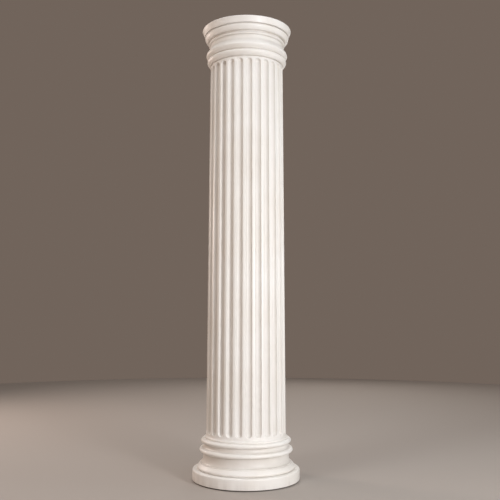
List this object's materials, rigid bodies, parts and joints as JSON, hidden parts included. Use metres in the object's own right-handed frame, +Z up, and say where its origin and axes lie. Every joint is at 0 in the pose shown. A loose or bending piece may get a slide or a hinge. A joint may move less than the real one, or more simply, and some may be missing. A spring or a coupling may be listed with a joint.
{
  "type": "fluted doric column",
  "caption": "Free-standing round column with a moulded round base, a fluted tapering shaft and a turned round capital; stands on its flat underside and carries a load or a display piece on top.",
  "frame": {"origin": "centre of the round underside, on the floor", "axes": "+Z up the column's axis; a flute is centred on -Y, which is the front, and a fillet between two flutes on +X and on -X"},
  "size_m": [0.56, 0.56, 2.406],
  "materials": {
    "cast_white": "smooth cast surface, warm off-white with a dull sheen, faint soiling in the hollows"
  },
  "bodies": {
    "root": {"base": "cast_white", "shaft": "cast_white", "capital": "cast_white"}
  },
  "joints": []
}
